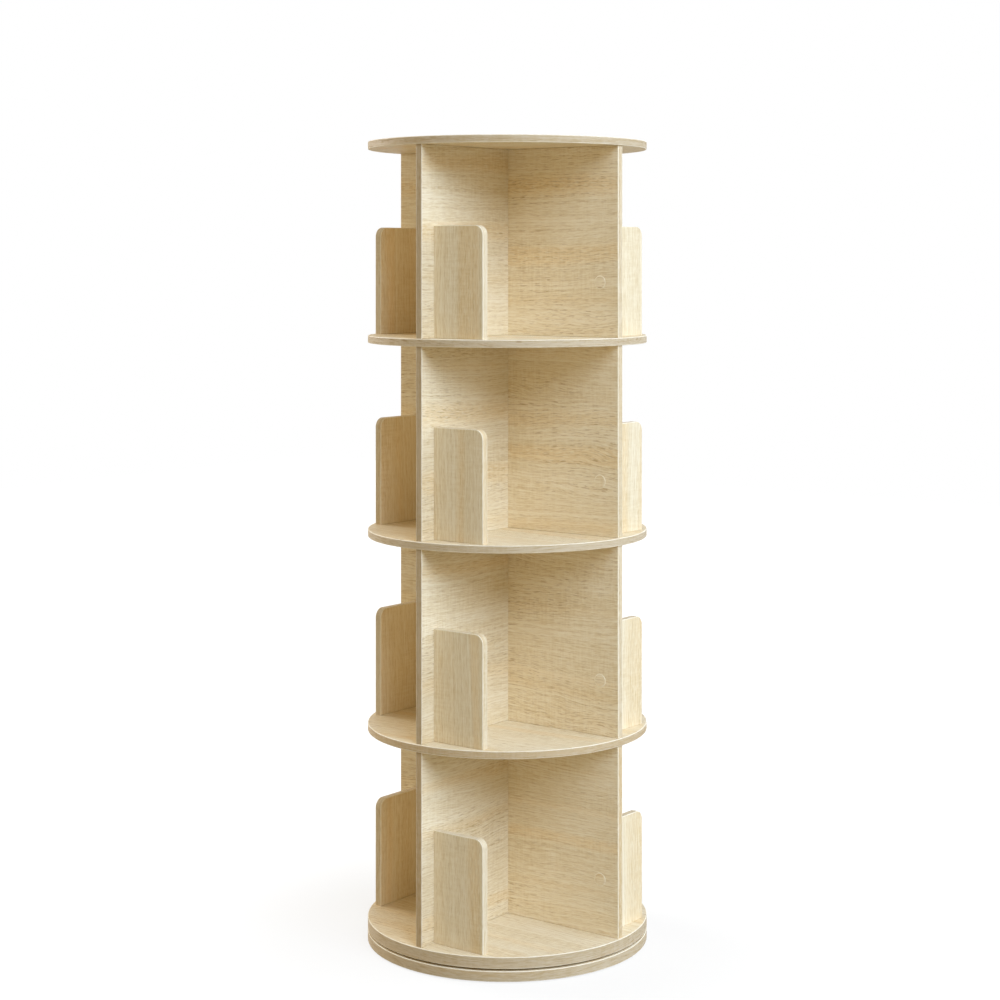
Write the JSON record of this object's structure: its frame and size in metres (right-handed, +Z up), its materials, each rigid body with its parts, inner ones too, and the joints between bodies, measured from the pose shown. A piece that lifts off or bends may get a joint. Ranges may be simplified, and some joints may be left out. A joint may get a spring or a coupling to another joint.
{
  "type": "revolving bookcase",
  "caption": "Floor-standing round bookcase of open tiers: round shelves on crossed panels with low bookends, turning as one tower on a ring ball bearing over a fixed base disc.",
  "frame": {"origin": "centre of the footprint on the floor, in the plane of the non-slip pads' undersides", "axes": "+Z up along the turning axis; the crossed panels lie along X and Y, and each bookend stands on the anticlockwise side of its arm, seen from above"},
  "size_m": [0.4499, 0.45, 1.2835],
  "materials": {
    "oak_laminate": "pale oak laminate, matt, with banded edges",
    "dowel_beech": "plain beech",
    "ring_aluminium": "satin turned aluminium",
    "ball_steel": "polished bearing steel",
    "spacer_plastic": "natural moulded plastic",
    "screw_zinc": "zinc plated",
    "cover_foil": "matt self-adhesive foil in the colour of the boards",
    "pad_rubber": "black non-slip rubber"
  },
  "bodies": {
    "base": {"base_disc": "oak_laminate", "floor_pads": "pad_rubber", "bearing_outer_ring": "ring_aluminium", "bearing_screws_to_base": "screw_zinc"},
    "ball_train": {"bearing_balls": "ball_steel", "bearing_ball_spacers": "spacer_plastic"},
    "tower": {"bearing_inner_ring": "ring_aluminium", "bearing_screws_to_shelf": "screw_zinc", "bottom_shelf": "oak_laminate", "shelf_2": "oak_laminate", "shelf_3": "oak_laminate", "shelf_4": "oak_laminate", "top_disc": "oak_laminate", "bottom_shelf_dowels": "dowel_beech", "shelf_2_dowels": "dowel_beech", "shelf_3_dowels": "dowel_beech", "shelf_4_dowels": "dowel_beech", "top_disc_dowels": "dowel_beech", "tier_1_panel_slotted_above": "oak_laminate", "tier_1_panel_slotted_below": "oak_laminate", "tier_1_bookend_1": "oak_laminate", "tier_1_bookend_2": "oak_laminate", "tier_1_bookend_3": "oak_laminate", "tier_1_bookend_4": "oak_laminate", "tier_1_bookend_screws": "screw_zinc", "tier_1_screw_covers": "cover_foil", "tier_2_panel_slotted_above": "oak_laminate", "tier_2_panel_slotted_below": "oak_laminate", "tier_2_bookend_1": "oak_laminate", "tier_2_bookend_2": "oak_laminate", "tier_2_bookend_3": "oak_laminate", "tier_2_bookend_4": "oak_laminate", "tier_2_bookend_screws": "screw_zinc", "tier_2_screw_covers": "cover_foil", "tier_3_panel_slotted_above": "oak_laminate", "tier_3_panel_slotted_below": "oak_laminate", "tier_3_bookend_1": "oak_laminate", "tier_3_bookend_2": "oak_laminate", "tier_3_bookend_3": "oak_laminate", "tier_3_bookend_4": "oak_laminate", "tier_3_bookend_screws": "screw_zinc", "tier_3_screw_covers": "cover_foil", "tier_4_panel_slotted_above": "oak_laminate", "tier_4_panel_slotted_below": "oak_laminate", "tier_4_bookend_1": "oak_laminate", "tier_4_bookend_2": "oak_laminate", "tier_4_bookend_3": "oak_laminate", "tier_4_bookend_4": "oak_laminate", "tier_4_bookend_screws": "screw_zinc", "tier_4_screw_covers": "cover_foil"}
  },
  "joints": [
    {"name": "tower_spin", "type": "hinge", "parent": "base", "child": "tower", "pos_m": [0, 0, 0.0225], "axis": [0, 0, 1], "continuous": true},
    {"name": "ball_train_spin", "type": "hinge", "parent": "base", "child": "ball_train", "pos_m": [0, 0, 0.0225], "axis": [0, 0, 1], "continuous": true}
  ],
  "couplings": [
    {"joint": "ball_train_spin", "follows": "tower_spin", "ratio": 0.492}
  ]
}
